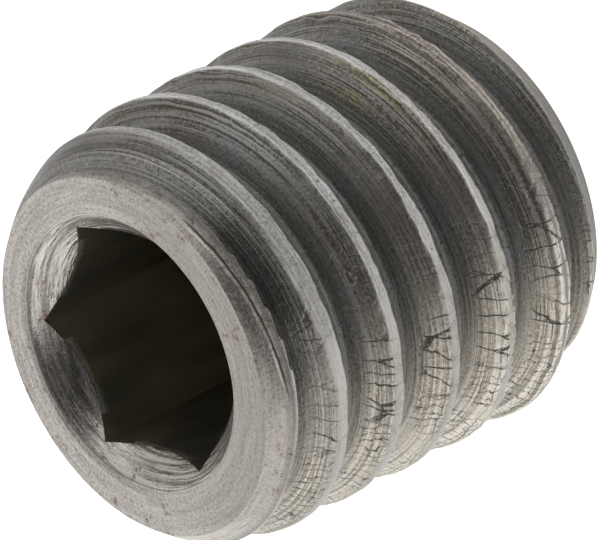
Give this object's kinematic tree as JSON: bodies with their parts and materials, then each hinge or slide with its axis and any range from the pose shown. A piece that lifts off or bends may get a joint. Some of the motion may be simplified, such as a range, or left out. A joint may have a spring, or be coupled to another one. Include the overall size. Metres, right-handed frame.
{
  "type": "orifice restrictor screw",
  "caption": "Short headless steel screw with a worn external thread, a countersunk hexagon socket in one end and a small flow hole along its axis.",
  "frame": {"origin": "centre of the flat plain end, on the surface that the screw stands on", "axes": "+Z along the screw axis, from the plain end to the socket end; two corners of the hexagon lie on the X axis"},
  "size_m": [0.0058, 0.0058, 0.006],
  "materials": {
    "bare_steel": "worn bare steel, turned end faces, dark flanks and bright torn crests"
  },
  "bodies": {
    "root": {"restrictor_screw": "bare_steel"}
  },
  "joints": []
}
